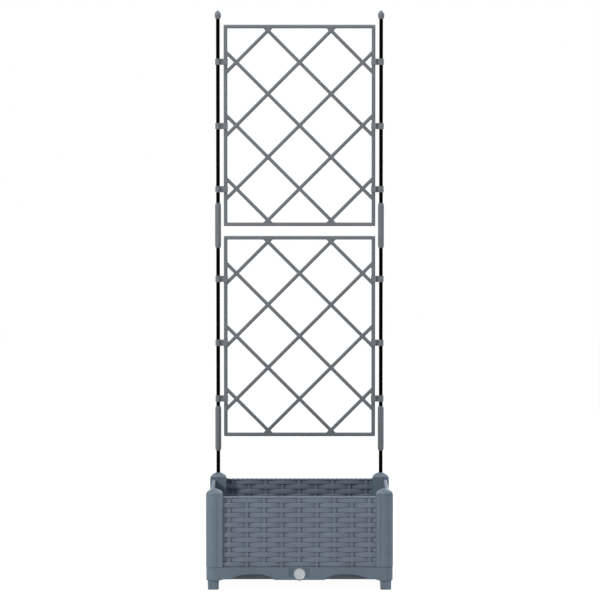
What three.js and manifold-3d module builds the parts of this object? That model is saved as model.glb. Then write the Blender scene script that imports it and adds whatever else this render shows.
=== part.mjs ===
// Square garden planter with a two-panel trellis on steel tube poles.
// Millimetres, +Z up, the front faces -Y, and the origin is on the ground under the middle of the box.
//
// How it goes together: four feet plug into one base moulding. Four slotted corner posts stand on pegs of the
// base and hold four woven-look wall panels by their tongues. A domed cap plugs into each post; the two rear caps
// are pierced for the poles, which are tubes joined end to end by sleeves and topped by finials. Two lattice
// panels hang between the poles on snap clips, which grip the poles and slide along them.

import * as THREE from 'three';
import { mergeVertices } from 'three/addons/utils/BufferGeometryUtils.js';
import Module from 'manifold-3d';

const wasm = await Module();
wasm.setup();

// ---------------------------------------------------------------- driving dimensions

// Clearance left between two pieces that fit or rest together
const fitGap = 0.3;

// Box and feet
const boxWidth = 400;
const boxDepth = 400;
const footSide = 24;
const footHeight = 19;
const footTaper = 0.6; // how far each side draws in towards the ground
const footInset = 3.7; // from the post's outer faces to the foot's
const footCornerRadius = 3;
const spigotSide = 17.8;
const spigotHeight = 12;

// Base moulding
const baseHeight = 29.5;
const baseInset = 0.6; // its skirt stands this far behind the post faces
const skirtWall = 2.8;
const ledgeThickness = 3;
const panWall = 2.5;
const panRise = 2.5; // from the base's underside to the pan's
const floorThickness = 3;
const upstandHeight = 5.5;
const upstandSetback = 4; // from the post's inner face to the upstand's end
const ribWidth = 3;
const ribDepth = 2;
const drainRadius = 4.5;
const drainSpacing = 110;
const pegHeight = 8;
const poleSeatDepth = 14.5;

// Skirt's lower edge: a level middle, a flat-topped arch on each side, then a slope down to the corner block
const edgeHeight = 5;
const edgeAtCorner = 1.2;
const archRise = 9.5;
const archInnerX = 45;
const archEndSetback = 6; // from the post's inner face to the arch's outer end
const archTopStart = 0.37; // the arch's top is level between these two shares of its length
const archTopEnd = 0.57;
const archSteps = 7;

// Corner posts and their caps
const postSide = 36;
const postCornerRadius = 19;
const postExcess = 2.3; // how much taller a post is than the wall panels
const postWall = 2.4;
const boreWall = 2.5;
const capInset = 0.6;
const capBrim = 1.2; // the upright edge under the dome
const capDome = 11.2;
const capFullness = 1.5; // power of the dome's superellipse: 1 is a straight cone, 2 an ellipse
const capCornerRadius = 2.2; // of the cap's three small corners
const capPlug = 8;
const capLevels = 4;

// Woven wall panels. Half thicknesses are measured from the panel's middle plane.
const panelInset = 8.5; // from the post's outer face to the middle plane
const panelHeight = 152.2;
const tongueHalf = 2;
const tongueDepth = 10;
const tongueFoot = 1; // the tongues start this far above the panel's foot, and end as far below its top
const rowPitch = 10.6;
const rimHeight = 3.8;
const rimHalf = 3.6;
const stakePitch = 37.5;
const stakeWidth = 6.4;
const stakeHalf = 3.7;
const bandCrestHalf = 4.8;
const bandCrestWidth = 17;
const bandDipHalf = 2.5;
const bandEndHalf = 3.4;
const grooveHalf = 2.2;
const dipRun = 0.6; // how far beside a stake's edge the band has dipped behind it

// Badge, a bare round disc in a recess of the front skirt
const badgeRadius = 12;
const badgeThickness = 1.6;
const badgeRimWidth = 1.3;
const badgeRimHeight = 0.5;
const badgeRecess = 1.5;
const badgeHeight = 15.2; // its centre above the base's underside
const bossWall = 1.8;
const studRadius = 2.2;
const studLength = 5;

// Poles
const poleRadius = 4.2;
const poleWall = 1;
const sleeveRadius = 6.7;
const sleeveLength = 100;
const sleeveTaper = 5;
const sleeveTipWall = 0.9;
const sleeveStop = 3; // thickness of the stop that parts the two tubes
const lowerSleeveRise = 97.6; // from the rear caps' tops to the lower sleeves' middles
const middleTubeExcess = 2.2; // how much longer a tube is than the lattice panel beside it
const upperTubeExcess = 15.9;
const finialHeight = 19.6;
const finialRadius = 7.1;
const finialSocket = 7;
const finialLip = 0.5;

// Trellis panels
const latticeHeight = 449;
const latticeGap = 12.8; // from the pole's axis to the panel's edge
const latticeDrop = 1.7; // the upper panel's foot hangs this far below the upper sleeves' middles
const panelSpacing = 21.8; // between the two panels
const latticeDepth = 8;
const latticeBevel = 1.7; // how far each face of a bar or slat is narrower than its middle, on each edge
const latticeBevelDepth = 2;
const barWidth = 8.2;
const slatWidth = 7.6;
const diamondSide = 99.6;
const smallestCell = 8; // a smaller opening is left filled

// Snap clips
const clipHeight = 13.8;
const clipRingWall = 1.6;
const clipMouth = 100; // degrees of the pole's girth that the ring leaves open
const clipWeb = 5;
const jawWall = 1.8;
const jawLip = 1; // how far the jaw's arms reach past the bar's inner edge

// Where the clips sit: the bottom one above the sleeve, the middle one above it, the top one below the panel's top
const upperClipPlaces = { aboveSleeve: 30.8, step: 140.8, belowTop: 82.5 };
const lowerClipPlaces = { aboveSleeve: 17.1, step: 125, belowTop: 96.2 };

// Facets round a full turn
const tubeFacets = 12;
const smallFacets = 8;
const badgeFacets = 18;

// ---------------------------------------------------------------- levels and places

const baseTop = footHeight + baseHeight;
const postFoot = baseTop + fitGap;
const postHeight = panelHeight + postExcess;
const postTop = postFoot + postHeight;
const capFoot = postTop + fitGap;
const capTop = capFoot + capBrim + capDome;

const halfWidth = boxWidth / 2;
const halfDepth = boxDepth / 2;
const postHalf = postSide / 2;
const wallWidth = boxWidth - 2 * postSide;
const wallDepth = boxDepth - 2 * postSide;
const poleX = halfWidth - postHalf;
const poleY = halfDepth - postHalf;
const poleBore = poleRadius + fitGap;
const footX = halfWidth - footInset - footSide / 2;
const footY = halfDepth - footInset - footSide / 2;
const skirtX = halfWidth - baseInset;
const skirtY = halfDepth - baseInset;

const tubeToSleeveMiddle = sleeveStop / 2 + fitGap;
const lowerTubeFoot = baseTop - poleSeatDepth + fitGap;
const lowerSleeveMiddle = capTop + lowerSleeveRise;
const lowerTubeLength = lowerSleeveMiddle - tubeToSleeveMiddle - lowerTubeFoot;
const middleTubeFoot = lowerSleeveMiddle + tubeToSleeveMiddle;
const middleTubeLength = latticeHeight + middleTubeExcess;
const upperSleeveMiddle = middleTubeFoot + middleTubeLength + tubeToSleeveMiddle;
const upperTubeFoot = upperSleeveMiddle + tubeToSleeveMiddle;
const upperTubeLength = latticeHeight + upperTubeExcess;
const finialFoot = upperTubeFoot + upperTubeLength + fitGap - finialSocket;

const latticeWidth = 2 * (poleX - latticeGap);
const latticeStep = diamondSide / Math.SQRT2;
const upperLatticeFoot = upperSleeveMiddle - latticeDrop;
const lowerLatticeFoot = upperLatticeFoot - panelSpacing - latticeHeight;

// ---------------------------------------------------------------- materials

function plastic(name, color, roughness) {
  return new THREE.MeshStandardMaterial({ name, color, roughness, metalness: 0 });
}

const boxPlastic = plastic('box_plastic', 0x5f6d78, 0.5);
const trellisPlastic = plastic('trellis_plastic', 0x6b7278, 0.45);
const coatedSteel = new THREE.MeshStandardMaterial({
  name: 'coated_steel', color: 0x0a0a0b, roughness: 0.4, metalness: 0.2,
});
const badgeSilver = new THREE.MeshStandardMaterial({
  name: 'badge_silver', color: 0xb4b7bc, roughness: 0.35, metalness: 0.6,
});

// ---------------------------------------------------------------- solid modelling helpers

function toSolid(geometry) {
  const bare = geometry.clone();
  bare.deleteAttribute('normal');
  bare.deleteAttribute('uv');
  const merged = mergeVertices(bare, 1e-4);
  return new wasm.Manifold(new wasm.Mesh({
    numProp: 3,
    vertProperties: new Float32Array(merged.attributes.position.array),
    triVerts: new Uint32Array(merged.index.array),
  }));
}

function toGeometry(solid) {
  const mesh = solid.getMesh();
  const geometry = new THREE.BufferGeometry();
  geometry.setAttribute('position', new THREE.BufferAttribute(mesh.vertProperties, 3));
  geometry.setIndex(new THREE.BufferAttribute(mesh.triVerts, 1));
  return geometry;
}

function join(...geometries) {
  return toGeometry(geometries.map(toSolid).reduce((sum, solid) => sum.add(solid)));
}

function cut(geometry, ...tools) {
  return toGeometry(tools.map(toSolid).reduce((rest, solid) => rest.subtract(solid), toSolid(geometry)));
}

// A block between two opposite corners, which may be given in either order
function block(x0, x1, y0, y1, z0, z1) {
  return new THREE.BoxGeometry(Math.abs(x1 - x0), Math.abs(y1 - y0), z1 - z0)
    .translate((x0 + x1) / 2, (y0 + y1) / 2, (z0 + z1) / 2);
}

// An outline in the XY plane, drawn up from z0 to z1. Each arc gets twice curveSegments facets.
function prism(shape, z0, z1, curveSegments = 3) {
  return new THREE.ExtrudeGeometry(shape, { depth: z1 - z0, bevelEnabled: false, curveSegments })
    .translate(0, 0, z0);
}

// An upright round bar
function rod(radius, z0, z1, facets = tubeFacets) {
  return new THREE.CylinderGeometry(radius, radius, z1 - z0, facets)
    .rotateX(Math.PI / 2)
    .translate(0, 0, (z0 + z1) / 2);
}

// A profile of [radius, height] pairs, its outside going up, turned about the Z axis
function turned(profile, facets = tubeFacets) {
  const points = profile.map(([r, z]) => new THREE.Vector2(r, z));
  return new THREE.LatheGeometry(points, facets).rotateX(Math.PI / 2);
}

function polygon(points) {
  return new THREE.Shape(points.map(([x, y]) => new THREE.Vector2(x, y)));
}

// Points along an arc about the origin, both its ends included
function arcPoints(radius, fromAngle, toAngle, steps) {
  return Array.from({ length: steps + 1 }, (_, i) => {
    const angle = fromAngle + (toAngle - fromAngle) * i / steps;
    return [radius * Math.cos(angle), radius * Math.sin(angle)];
  });
}

function circle(radius, facets) {
  return polygon(arcPoints(radius, 0, 2 * Math.PI, facets).slice(0, -1));
}

// A solid through copies of one ring of points, each copy scaled and raised, closed by a fan at each end
function loft(ring, levels, crownHeight) {
  const count = ring.length;
  const positions = levels.flatMap(({ scale, z }) => ring.flatMap((p) => [p.x * scale, p.y * scale, z]));
  const foot = levels.length * count;
  positions.push(0, 0, levels[0].z, 0, 0, crownHeight);
  const index = [];
  for (let i = 0; i < count; i++) {
    const next = (i + 1) % count;
    for (let low = 0; low < foot - count; low += count) {
      const high = low + count;
      index.push(low + i, low + next, high + next, low + i, high + next, high + i);
    }
    index.push(next, i, foot, foot - count + i, foot - count + next, foot + 1);
  }
  const geometry = new THREE.BufferGeometry();
  geometry.setAttribute('position', new THREE.Float32BufferAttribute(positions, 3));
  geometry.setIndex(index);
  return geometry;
}

// The points of a closed outline, with no point repeated where it closes
function ringOf(shape, curveSegments) {
  const ring = shape.extractPoints(curveSegments).shape;
  return ring[0].distanceTo(ring.at(-1)) < 1e-6 ? ring.slice(0, -1) : ring;
}

function named(name, geometry, material) {
  const mesh = new THREE.Mesh(geometry, material);
  mesh.name = name;
  return mesh;
}

// ---------------------------------------------------------------- corner posts

// The four corners, each turned from the front left one, whose round edge faces -X and -Y
const corners = [
  { name: 'front_left', x: -1, y: -1, turn: 0 },
  { name: 'front_right', x: 1, y: -1, turn: Math.PI / 2 },
  { name: 'rear_right', x: 1, y: 1, turn: Math.PI },
  { name: 'rear_left', x: -1, y: 1, turn: -Math.PI / 2 },
];

// Across a post, from its axis: the panels' tongues enter along slotLine and end at slotEnd
const slotLine = panelInset - postHalf;
const slotHalf = tongueHalf + fitGap;
const slotEnd = postHalf - tongueDepth - fitGap;
const coreHalf = poleBore + boreWall;
const roundCentre = postCornerRadius - postHalf;

function postOutline() {
  const low = slotLine - slotHalf;
  const high = slotLine + slotHalf;
  const shape = polygon([
    [roundCentre, -postHalf], [postHalf, -postHalf],
    [postHalf, low], [slotEnd, low], [slotEnd, high], [postHalf, high],
    [postHalf, postHalf],
    [high, postHalf], [high, slotEnd], [low, slotEnd], [low, postHalf],
    [-postHalf, postHalf], [-postHalf, roundCentre],
  ]);
  shape.absarc(roundCentre, roundCentre, postCornerRadius, Math.PI, 1.5 * Math.PI);
  return shape;
}

// The L-shaped pocket on the side of the post that faces into the box
function innerPocket(inset) {
  const near = slotLine + slotHalf + postWall + inset;
  const far = postHalf - postWall - inset;
  const core = coreHalf + inset;
  return polygon([[core, near], [far, near], [far, far], [near, far], [near, core], [core, core]]);
}

// The L-shaped pocket behind the post's round edge. Its arms end square, on the arc where that is round enough.
function outerPocket(inset) {
  const end = slotEnd - 2 * postWall - inset;
  const core = coreHalf + inset;
  const radius = postCornerRadius - postWall - inset;
  const trim = Math.asin(Math.max(0, roundCentre - end) / radius);
  const far = roundCentre - radius * Math.cos(trim);
  const shape = polygon([[end, far], [end, -core], [-core, -core], [-core, end], [far, end]]);
  shape.absarc(roundCentre, roundCentre, radius, Math.PI + trim, 1.5 * Math.PI - trim);
  return shape;
}

function makePost() {
  const shape = postOutline();
  shape.holes.push(circle(poleBore, tubeFacets), innerPocket(0), outerPocket(0));
  return prism(shape, 0, postHeight);
}

// ---------------------------------------------------------------- post caps

function capOutline() {
  const half = postHalf - capInset;
  const small = capCornerRadius;
  const large = postCornerRadius - capInset;
  const shape = polygon([[half, half - small]]);
  shape.quadraticCurveTo(half, half, half - small, half);
  shape.lineTo(small - half, half);
  shape.quadraticCurveTo(-half, half, -half, half - small);
  shape.lineTo(-half, large - half);
  shape.absarc(large - half, large - half, large, Math.PI, 1.5 * Math.PI);
  shape.lineTo(half - small, -half);
  shape.quadraticCurveTo(half, -half, half, small - half);
  return shape;
}

// A dome that climbs a quarter superellipse from an upright brim, with plugs for the post's two pockets
function makeCap(pierced) {
  const levels = [{ scale: 1, z: 0 }];
  for (let k = 0; k < capLevels; k++) {
    const angle = (k / capLevels) * (Math.PI / 2);
    const [scale, rise] = [Math.cos(angle), Math.sin(angle)].map((share) => share ** (2 / capFullness));
    levels.push({ scale, z: capBrim + capDome * rise });
  }
  const crown = loft(ringOf(capOutline(), 2), levels, capBrim + capDome);
  const plugs = [innerPocket(fitGap), outerPocket(fitGap)].map((shape) => prism(shape, -capPlug, capBrim / 2, 2));
  const cap = join(crown, ...plugs);
  return pierced ? cut(cap, rod(poleBore, -capPlug, 2 * (capBrim + capDome))) : cap;
}

// ---------------------------------------------------------------- feet

function makeFoot() {
  const half = footSide / 2;
  const flat = half - footCornerRadius;
  const shape = polygon([[half, flat]]);
  for (const [x, y] of [[1, 1], [-1, 1], [-1, -1], [1, -1]]) {
    const start = x * y > 0 ? [x * half, y * flat] : [x * flat, y * half];
    const end = x * y > 0 ? [x * flat, y * half] : [x * half, y * flat];
    shape.lineTo(...start);
    shape.quadraticCurveTo(x * half, y * half, ...end);
  }
  const top = footHeight - fitGap;
  const levels = [{ scale: 1 - footTaper / half, z: 0 }, { scale: 1, z: top }];
  const spigot = spigotSide / 2;
  const overlap = top / 2;
  return join(loft(ringOf(shape, 2), levels, top),
    block(-spigot, spigot, -spigot, spigot, top - overlap, footHeight + spigotHeight));
}

// ---------------------------------------------------------------- base moulding

// Heights in this section are above the base's own underside
const panOuterInset = panelInset + bandCrestHalf + fitGap; // from the box's outer face to the pan wall's
const panInnerInset = panOuterInset + panWall;
const panX = halfWidth - panOuterInset;
const panY = halfDepth - panOuterInset;
const sink = 1; // how far one joined shape runs into the next

// Height of the skirt's lower edge at x, along a side whose posts' inner faces are at +-reach
function skirtEdge(x, reach) {
  const distance = Math.abs(x);
  const archOuterX = reach - archEndSetback;
  if (distance <= archInnerX) return edgeHeight;
  if (distance <= archOuterX) {
    const share = (distance - archInnerX) / (archOuterX - archInnerX);
    const climb = Math.min(1, share / archTopStart, (1 - share) / (1 - archTopEnd));
    return edgeHeight + archRise * (0.5 - 0.5 * Math.cos(Math.PI * climb));
  }
  return edgeHeight + (edgeAtCorner - edgeHeight) * (distance - archOuterX) / archEndSetback;
}

// One side's skirt, its outer face on the plane y = -face
function skirtPlate(reach, face) {
  const archOuterX = reach - archEndSetback;
  const half = [reach];
  for (let k = archSteps; k >= 0; k--) half.push(archInnerX + (archOuterX - archInnerX) * k / archSteps);
  const edge = [...half, ...half.map((x) => -x).reverse()].map((x) => [x, skirtEdge(x, reach)]);
  const end = reach + sink;
  const outline = polygon([
    [-end, edgeAtCorner], [-end, baseHeight], [end, baseHeight], [end, edgeAtCorner], ...edge,
  ]);
  return prism(outline, 0, skirtWall).rotateX(Math.PI / 2).translate(0, skirtWall - face, 0);
}

// A solid corner under a post, with the post's own round edge
function cornerBlock(corner) {
  const side = postSide - baseInset;
  const radius = postCornerRadius - baseInset;
  const shape = polygon([[side, 0], [side, side], [0, side], [0, radius]]);
  shape.absarc(radius, radius, radius, Math.PI, 1.5 * Math.PI);
  return prism(shape, 0, baseHeight)
    .rotateZ(corner.turn)
    .translate(corner.x * skirtX, corner.y * skirtY, 0);
}

// A flat ring between two rectangles, given by their distances in from the box's outer faces
function rectangleRing(outerInset, innerInset, z0, z1) {
  const [outer, inner] = [outerInset, innerInset].map((inset) => {
    const x = halfWidth - inset;
    const y = halfDepth - inset;
    return polygon([[-x, -y], [x, -y], [x, y], [-x, y]]);
  });
  outer.holes.push(inner);
  return prism(outer, z0, z1);
}

function makePan() {
  const wall = rectangleRing(panOuterInset, panInnerInset, panRise, baseHeight);
  const floor = block(-panX, panX, -panY, panY, panRise, panRise + floorThickness);
  const [ribFoot, ribTop] = [panRise - ribDepth, panRise + sink];
  const ribs = [-1, 1].flatMap((side) => {
    const [from, to] = [-1, 1].map((edge) => (side * drainSpacing + edge * ribWidth) / 2);
    return [block(from, to, -panY, panY, ribFoot, ribTop), block(-panX, panX, from, to, ribFoot, ribTop)];
  });
  return [wall, floor, ...ribs];
}

// Low upstands inside the panels' feet, which keep the soil from pushing them out of line
function makeUpstands() {
  const alongX = wallWidth / 2 - upstandSetback;
  const alongY = wallDepth / 2 - upstandSetback;
  const [foot, top] = [baseHeight - sink, baseHeight + upstandHeight];
  return [-1, 1].flatMap((side) => [
    block(-alongX, alongX, side * panY, side * (panY - panWall), foot, top),
    block(side * panX, side * (panX - panWall), -alongY, alongY, foot, top),
  ]);
}

// A round shape on the front skirt, on the badge's centre, from a depth behind the skirt's face to another
function onBadgeCentre(radius, fromDepth, toDepth, facets = badgeFacets) {
  return rod(radius, fromDepth, toDepth, facets)
    .rotateX(-Math.PI / 2)
    .translate(0, -skirtY, badgeHeight);
}

function makeBase() {
  const skirts = [
    skirtPlate(wallWidth / 2, skirtY),
    skirtPlate(wallDepth / 2, skirtX).rotateZ(Math.PI / 2),
    skirtPlate(wallWidth / 2, skirtY).rotateZ(Math.PI),
    skirtPlate(wallDepth / 2, skirtX).rotateZ(-Math.PI / 2),
  ];
  const ledge = rectangleRing(baseInset + skirtWall / 2, panInnerInset, baseHeight - ledgeThickness, baseHeight);
  const pegs = corners.map((corner) => prism(innerPocket(fitGap), baseHeight - sink, baseHeight + pegHeight)
    .rotateZ(corner.turn)
    .translate(corner.x * poleX, corner.y * poleY, 0));
  const boss = onBadgeCentre(badgeRadius + fitGap + bossWall, 0, skirtWall);

  const holes = [
    onBadgeCentre(badgeRadius + fitGap, -sink, badgeRecess),
    onBadgeCentre(studRadius + fitGap, 0, skirtWall + sink, smallFacets),
  ];
  const drain = (x, y) => rod(drainRadius, 0, 2 * (panRise + floorThickness), smallFacets).translate(x, y, 0);
  const socketHalf = spigotSide / 2 + fitGap;
  holes.push(drain(0, 0));
  for (const { x, y } of corners) {
    holes.push(drain(x * drainSpacing, y * drainSpacing));
    holes.push(block(x * footX - socketHalf, x * footX + socketHalf,
      y * footY - socketHalf, y * footY + socketHalf, -sink, spigotHeight + fitGap));
  }
  for (const side of [-1, 1]) {
    holes.push(rod(poleBore, baseHeight - poleSeatDepth, baseHeight + sink).translate(side * poleX, poleY, 0));
  }
  const body = join(...corners.map(cornerBlock), ...skirts, ledge, ...makePan(), ...makeUpstands(), ...pegs, boss);
  return cut(body, ...holes);
}

// ---------------------------------------------------------------- woven wall panels

// Joins two lines of points that run the same way along x by a strip of triangles
function zip(index, points, below, above, flip) {
  let i = 0;
  let j = 0;
  while (i < below.length - 1 || j < above.length - 1) {
    const stepBelow = j === above.length - 1
      || (i < below.length - 1 && points[below[i + 1]][0] <= points[above[j + 1]][0]);
    const triangle = stepBelow ? [below[i], below[i + 1], above[j]] : [below[i], above[j + 1], above[j]];
    index.push(...(flip ? triangle.reverse() : triangle));
    if (stepBelow) i += 1;
    else j += 1;
  }
}

// The woven field. Bands run along x, one to a row, and pass over every second upright stake and under the next;
// the next row does the opposite. On the outer face (-Y) rows meet in grooves, and each stake stands out where the
// band dips behind it. The inner face is the same weave as a plainer wave.
function wovenField(width, rows) {
  const half = width / 2;
  const reach = Math.floor((half - bandCrestWidth / 2) / stakePitch);
  const stakes = Array.from({ length: 2 * reach + 1 }, (_, i) => i - reach);
  const isOver = (row, stake) => (rows - row + stake) % 2 === 0;
  const rowMiddle = (row) => (row + 0.5) * rowPitch;
  const points = [];
  const index = [];
  const addLine = (middle, depth, z) => [[-half, depth], ...middle, [half, depth]]
    .map(([x, y]) => points.push([x, y, z]) - 1);

  const outerGroove = (z) => addLine(stakes.map((i) => [i * stakePitch, -grooveHalf]), -grooveHalf, z);

  function outerCrest(row) {
    const line = stakes.flatMap((i) => {
      const x = i * stakePitch;
      const crest = bandCrestWidth / 2;
      const edge = stakeWidth / 2;
      if (isOver(row, i)) return [[x - crest, -bandCrestHalf], [x + crest, -bandCrestHalf]];
      return [
        [x - edge - dipRun, -bandDipHalf], [x - edge, -stakeHalf],
        [x + edge, -stakeHalf], [x + edge + dipRun, -bandDipHalf],
      ];
    });
    return addLine(line, -bandEndHalf, rowMiddle(row));
  }

  const innerWave = (row) => addLine(
    stakes.map((i) => [i * stakePitch, isOver(row, i) ? bandCrestHalf : bandDipHalf]), bandEndHalf, rowMiddle(row));

  const outer = [outerGroove(0)];
  const inner = [addLine([], grooveHalf, 0)];
  for (let row = 0; row < rows; row++) {
    outer.push(outerCrest(row), outerGroove((row + 1) * rowPitch));
    inner.push(innerWave(row));
  }
  inner.push(addLine([], grooveHalf, rows * rowPitch));
  for (let k = 1; k < outer.length; k++) zip(index, points, outer[k - 1], outer[k], false);
  for (let k = 1; k < inner.length; k++) zip(index, points, inner[k - 1], inner[k], true);

  // The foot and the top close between the faces' outermost lines, and the ends between their end points
  zip(index, points, inner[0], outer[0], false);
  zip(index, points, outer.at(-1), inner.at(-1), false);
  const byHeight = (ends) => ends.map((end) => points[end]).map(([, y, z], i) => ({ end: ends[i], y, z }));
  for (const pick of [0, -1]) {
    const front = byHeight(outer.map((line) => line.at(pick)));
    const back = byHeight(inner.map((line) => line.at(pick)));
    let i = 0;
    let j = 0;
    while (i < front.length - 1 || j < back.length - 1) {
      const stepFront = j === back.length - 1 || (i < front.length - 1 && front[i + 1].z <= back[j + 1].z);
      const triangle = stepFront
        ? [front[i].end, front[i + 1].end, back[j].end]
        : [front[i].end, back[j + 1].end, back[j].end];
      index.push(...(pick === 0 ? triangle : triangle.reverse()));
      if (stepFront) i += 1;
      else j += 1;
    }
  }

  const geometry = new THREE.BufferGeometry();
  geometry.setAttribute('position', new THREE.Float32BufferAttribute(points.flat(), 3));
  geometry.setIndex(index);
  return geometry;
}

// A wall panel: the woven field, a plain rim along its top, and a tongue at each end for the posts' slots
function makePanel(span) {
  const half = span / 2 - fitGap;
  const rows = Math.floor((panelHeight - rimHeight) / rowPitch);
  const tongueEnd = span / 2 + tongueDepth;
  const tongues = [-1, 1].map((side) => block(side * (half - sink), side * tongueEnd,
    -tongueHalf, tongueHalf, tongueFoot, panelHeight - tongueFoot));
  const rim = block(-half, half, -rimHalf, rimHalf, rows * rowPitch - sink, panelHeight);
  return join(wovenField(2 * half, rows), rim, ...tongues);
}

// ---------------------------------------------------------------- badge

// A disc with a low raised rim and a stud behind, lying on its back
function makeBadge() {
  const face = badgeThickness - badgeRimHeight;
  const rimInner = badgeRadius - badgeRimWidth;
  const disc = turned([
    [0, 0], [badgeRadius, 0], [badgeRadius, badgeThickness], [rimInner, badgeThickness],
    [rimInner - badgeRimHeight, face], [0, face],
  ], badgeFacets);
  return join(disc, rod(studRadius, -studLength, face / 2, smallFacets));
}

// ---------------------------------------------------------------- poles, sleeves and finials

function makeTube(length) {
  const ring = circle(poleRadius, tubeFacets);
  ring.holes.push(circle(poleRadius - poleWall, tubeFacets));
  return prism(ring, 0, length);
}

// A coupling sleeve about its own middle: tapered ends, and a stop inside that parts the two tubes
function makeSleeve() {
  const half = sleeveLength / 2;
  const tip = poleBore + sleeveTipWall;
  const stop = sleeveStop / 2;
  const stopRadius = poleRadius - poleWall;
  return turned([
    [tip, -half], [sleeveRadius, sleeveTaper - half], [sleeveRadius, half - sleeveTaper], [tip, half],
    [poleBore, half], [poleBore, stop], [stopRadius, stop], [stopRadius, -stop], [poleBore, -stop],
    [poleBore, -half], [tip, -half],
  ]);
}

// A bud with a pointed tip, and a blind socket for the tube's end. Its profile bulges on an S-shaped curve.
function makeFinial() {
  const lip = poleBore + finialLip;
  const bulge = new THREE.CubicBezierCurve(
    new THREE.Vector2(lip, 0), new THREE.Vector2(1.2 * finialRadius, 0.35 * finialHeight),
    new THREE.Vector2(1.2 * finialRadius, 0.75 * finialHeight), new THREE.Vector2(0, finialHeight),
  );
  const outside = bulge.getPoints(6).map((p) => [p.x, p.y]);
  return turned([[0, finialSocket], [poleBore, finialSocket], [poleBore, 0], ...outside]);
}

// ---------------------------------------------------------------- lattice panels

// What is left of a polygon on the side of a line where along(point) is no more than limit
function clipped(points, along, limit) {
  return points.flatMap((point, i) => {
    const next = points[(i + 1) % points.length];
    const [here, there] = [along(point) - limit, along(next) - limit];
    const kept = here <= 0 ? [point] : [];
    if (here * there < 0) kept.push(point.clone().lerp(next, here / (here - there)));
    return kept;
  });
}

// The openings of the lattice: diamonds between slats at 45 degrees, cut off by the frame's inner edges
function latticeCells(innerX, innerY) {
  const reach = latticeStep - slatWidth / Math.SQRT2;
  const cells = [];
  const [columns, rows] = [innerX, innerY].map((inner) => Math.ceil(inner / latticeStep));
  for (let i = -columns; i <= columns; i++) {
    for (let j = -rows; j <= rows; j++) {
      if ((i + j) % 2 === 0) continue;
      const [x, y] = [i * latticeStep, j * latticeStep];
      const diamond = [[x + reach, y], [x, y + reach], [x - reach, y], [x, y - reach]]
        .map((point) => new THREE.Vector2(...point));
      const acrossX = clipped(clipped(diamond, (p) => p.x, innerX), (p) => -p.x, innerX);
      const cell = clipped(clipped(acrossX, (p) => p.y, innerY), (p) => -p.y, innerY);
      if (Math.abs(THREE.ShapeUtils.area(cell)) > smallestCell ** 2) cells.push(cell);
    }
  }
  return cells;
}

// A plate of the lattice's depth about the plane z = 0, with sloped edges. Each face is narrower than the middle
// by the inset on every edge, or wider where the inset is negative.
function slopedPlate(shape, inset) {
  const middleDepth = latticeDepth - 2 * latticeBevelDepth;
  return new THREE.ExtrudeGeometry(shape, {
    depth: middleDepth, bevelThickness: latticeBevelDepth, bevelSize: inset, bevelOffset: -inset, bevelSegments: 1,
  }).translate(0, 0, -middleDepth / 2);
}

// A rectangular frame filled with crossing slats, standing on its foot: one flat moulding, whose openings widen
// towards both faces
function makeLattice() {
  const halfX = latticeWidth / 2;
  const halfY = latticeHeight / 2;
  const outline = polygon([[-halfX, -halfY], [halfX, -halfY], [halfX, halfY], [-halfX, halfY]]);
  const openings = latticeCells(halfX - barWidth, halfY - barWidth)
    .map((cell) => slopedPlate(new THREE.Shape(cell), -latticeBevel));
  return cut(slopedPlate(outline, latticeBevel), ...openings)
    .rotateX(Math.PI / 2)
    .translate(0, 0, halfY);
}

// ---------------------------------------------------------------- snap clips

// One outline seen from above, the pole on its axis and the frame bar towards +X: a C-ring open to the rear,
// a web, and a jaw with an arm on each face of the bar. The jaws of both poles hold the panel between them.
function makeClip() {
  const inner = poleBore;
  const outer = poleBore + clipRingWall;
  const mouthHalf = THREE.MathUtils.degToRad(clipMouth / 2);
  const mouthRight = Math.PI / 2 - mouthHalf;
  const mouthLeft = Math.PI / 2 + mouthHalf;
  const webHalf = clipWeb / 2;
  const webAngle = Math.asin(webHalf / outer);

  const barNear = latticeGap - fitGap;
  const jawBack = barNear - jawWall;
  const jawTip = latticeGap + barWidth + jawLip;
  const inside = latticeDepth / 2 + fitGap;
  const outside = inside + jawWall;

  const outline = polygon([
    ...arcPoints(outer, mouthLeft, 2 * Math.PI - webAngle, 5),
    [jawBack, -webHalf], [jawBack, -outside], [jawTip, -outside], [jawTip, -inside], [barNear, -inside],
    [barNear, inside], [jawTip, inside], [jawTip, outside], [jawBack, outside], [jawBack, webHalf],
    ...arcPoints(outer, webAngle, mouthRight, 1),
    ...arcPoints(inner, mouthRight + 2 * Math.PI, mouthLeft, 8),
  ]);
  return prism(outline, -clipHeight / 2, clipHeight / 2);
}

// ---------------------------------------------------------------- assembly

const planter = new THREE.Group();

const base = named('base', makeBase(), boxPlastic);
base.position.z = footHeight;
planter.add(base);

const post = makePost();
const blindCap = makeCap(false);
const piercedCap = makeCap(true);
const foot = makeFoot();
for (const corner of corners) {
  const place = (mesh, x, y, z) => {
    mesh.position.set(corner.x * x, corner.y * y, z);
    mesh.rotation.z = corner.turn;
    planter.add(mesh);
  };
  const cap = corner.y > 0 ? piercedCap : blindCap;
  place(named(`${corner.name}_foot`, foot, boxPlastic), footX, footY, 0);
  place(named(`${corner.name}_post`, post, boxPlastic), poleX, poleY, postFoot);
  place(named(`${corner.name}_cap`, cap, boxPlastic), poleX, poleY, capFoot);
}

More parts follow.
